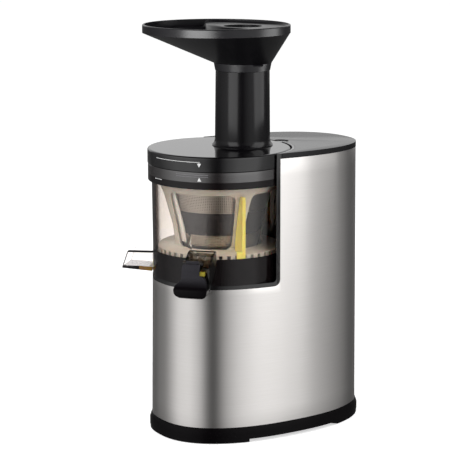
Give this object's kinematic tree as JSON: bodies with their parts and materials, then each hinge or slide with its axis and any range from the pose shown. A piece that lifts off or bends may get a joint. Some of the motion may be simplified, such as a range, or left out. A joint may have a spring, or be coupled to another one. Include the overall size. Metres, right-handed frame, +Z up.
{
  "type": "cold press juicer",
  "caption": "Upright slow juicer: oval steel body, lift-off clear drum with pressing screw, strainer and turning brush, twist lid, feed tray, hinged spout cap, open gear drive inside.",
  "frame": {"origin": "where the drum's vertical axis meets the surface that the feet stand on", "axes": "+Z up along the drum's axis, -Y to the front where the drum stands, +X to the right seen from the front"},
  "size_m": [0.1954, 0.2969, 0.4932],
  "materials": {
    "steel_sheet": "brushed round the body",
    "black_gloss": "moulded, high gloss",
    "black_satin": "moulded, satin",
    "dark_base": "moulded, gloss, dark smoke",
    "clear_smoke": "clear moulded copolyester, light smoke tint",
    "clear_trough": "clear moulded copolyester",
    "beige_plastic": "translucent moulded",
    "yellow_silicone": "moulded silicone",
    "white_silicone": "moulded silicone",
    "strainer_steel": "etched mesh",
    "strainer_plastic": "moulded, dark",
    "screw_plastic": "moulded, satin",
    "machined_steel": "turned",
    "gear_plastic": "moulded acetal",
    "rubber_black": "moulded",
    "frame_plastic": "moulded",
    "bronze": "sintered",
    "copper": "turned",
    "can_steel": "zinc plated",
    "winding": "varnished",
    "magnet": "sintered",
    "carbon": "pressed",
    "board_green": "laminate"
  },
  "bodies": {
    "housing": {"base_skirt": "black_gloss", "bottom_plate": "frame_plastic", "rubber_feet": "rubber_black", "base_screws": "machined_steel", "steel_sleeve": "steel_sheet", "recess_frame": "black_satin", "drum_wall": "black_satin", "top_cover": "black_gloss", "shaft_seal": "rubber_black", "chassis": "frame_plastic", "gearbox_case": "frame_plastic", "gearbox_cover": "frame_plastic", "gearbox_screws": "machined_steel", "axle_bushes": "bronze", "motor_can": "can_steel", "motor_magnets": "magnet", "motor_end_plate": "can_steel", "motor_bearings": "machined_steel", "carbon_brushes": "carbon", "control_board": "board_green", "board_parts": "frame_plastic", "lid_sensor": "frame_plastic", "switch_housing": "black_satin", "cord_inlet": "rubber_black"},
    "rocker": {"switch_rocker": "black_gloss"},
    "rotor": {"motor_shaft": "machined_steel", "rotor_core": "winding", "commutator": "copper", "cooling_fan": "frame_plastic"},
    "first_wheel": {"first_gear": "gear_plastic", "first_axle": "machined_steel"},
    "second_wheel": {"second_gear": "gear_plastic", "second_axle": "machined_steel"},
    "output": {"output_gear": "gear_plastic", "drive_shaft": "machined_steel"},
    "drum": {"bowl": "clear_smoke", "bowl_base": "dark_base", "bowl_ring": "black_gloss", "bowl_seal": "yellow_silicone", "pulp_plug": "yellow_silicone", "pulp_spout": "clear_trough", "cap_pin": "black_satin", "strainer_frame": "strainer_plastic", "strainer_mesh": "strainer_steel"},
    "pressing_screw": {"screw": "screw_plastic", "screw_gear": "machined_steel", "screw_pin": "machined_steel"},
    "brush": {"brush_carrier": "beige_plastic", "bowl_wipers": "yellow_silicone", "strainer_wipers": "white_silicone"},
    "idler": {"brush_pinion": "gear_plastic"},
    "lid_body": {"lid": "black_gloss", "lid_bush": "gear_plastic", "lid_gasket": "white_silicone", "lid_magnet": "machined_steel", "feed_tube": "black_satin"},
    "tray": {"feed_tray": "black_satin"},
    "cap": {"spout_cap": "black_gloss", "cap_seal": "yellow_silicone"}
  },
  "joints": [
    {"name": "drum_lift", "type": "slide", "parent": "housing", "child": "drum", "axis": [0, 0, 1], "range_m": [0, 0.12]},
    {"name": "lid_turn", "type": "hinge", "parent": "drum", "child": "lid_body", "pos_m": [0, 0, 0.34], "axis": [0, 0, 1], "range_deg": [0, 40]},
    {"name": "tray_lift", "type": "slide", "parent": "lid_body", "child": "tray", "axis": [0, 0, 1], "range_m": [0, 0.08]},
    {"name": "cap_swing", "type": "hinge", "parent": "drum", "child": "cap", "pos_m": [0.07849, -0.07849, 0.2266], "axis": [-0.7071, -0.7071, 0], "range_deg": [0, 95]},
    {"name": "motor_spin", "type": "hinge", "parent": "housing", "child": "rotor", "pos_m": [0, 0.132, 0.2], "axis": [0, 0, 1], "continuous": true},
    {"name": "first_spin", "type": "hinge", "parent": "housing", "child": "first_wheel", "pos_m": [0, 0.0945, 0.12], "axis": [0, 0, 1], "continuous": true},
    {"name": "second_spin", "type": "hinge", "parent": "housing", "child": "second_wheel", "pos_m": [0, 0.054, 0.14], "axis": [0, 0, 1], "continuous": true},
    {"name": "output_spin", "type": "hinge", "parent": "housing", "child": "output", "pos_m": [0, 0, 0.15], "axis": [0, 0, 1], "continuous": true},
    {"name": "screw_spin", "type": "hinge", "parent": "drum", "child": "pressing_screw", "pos_m": [0, 0, 0.25], "axis": [0, 0, 1], "continuous": true},
    {"name": "idler_spin", "type": "hinge", "parent": "drum", "child": "idler", "pos_m": [0.0245, 0.04244, 0.217], "axis": [0, 0, 1], "continuous": true},
    {"name": "brush_spin", "type": "hinge", "parent": "drum", "child": "brush", "pos_m": [0, 0, 0.26], "axis": [0, 0, 1], "continuous": true},
    {"name": "switch_rock", "type": "hinge", "parent": "housing", "child": "rocker", "pos_m": [0, 0.178, 0.075], "axis": [1, 0, 0], "range_deg": [-10, 10]}
  ],
  "couplings": [
    {"joint": "first_spin", "follows": "motor_spin", "ratio": -0.25},
    {"joint": "second_spin", "follows": "motor_spin", "ratio": 0.071429},
    {"joint": "output_spin", "follows": "motor_spin", "ratio": -0.020408},
    {"joint": "screw_spin", "follows": "motor_spin", "ratio": -0.020408},
    {"joint": "idler_spin", "follows": "motor_spin", "ratio": 0.046259},
    {"joint": "brush_spin", "follows": "motor_spin", "ratio": 0.010842}
  ]
}
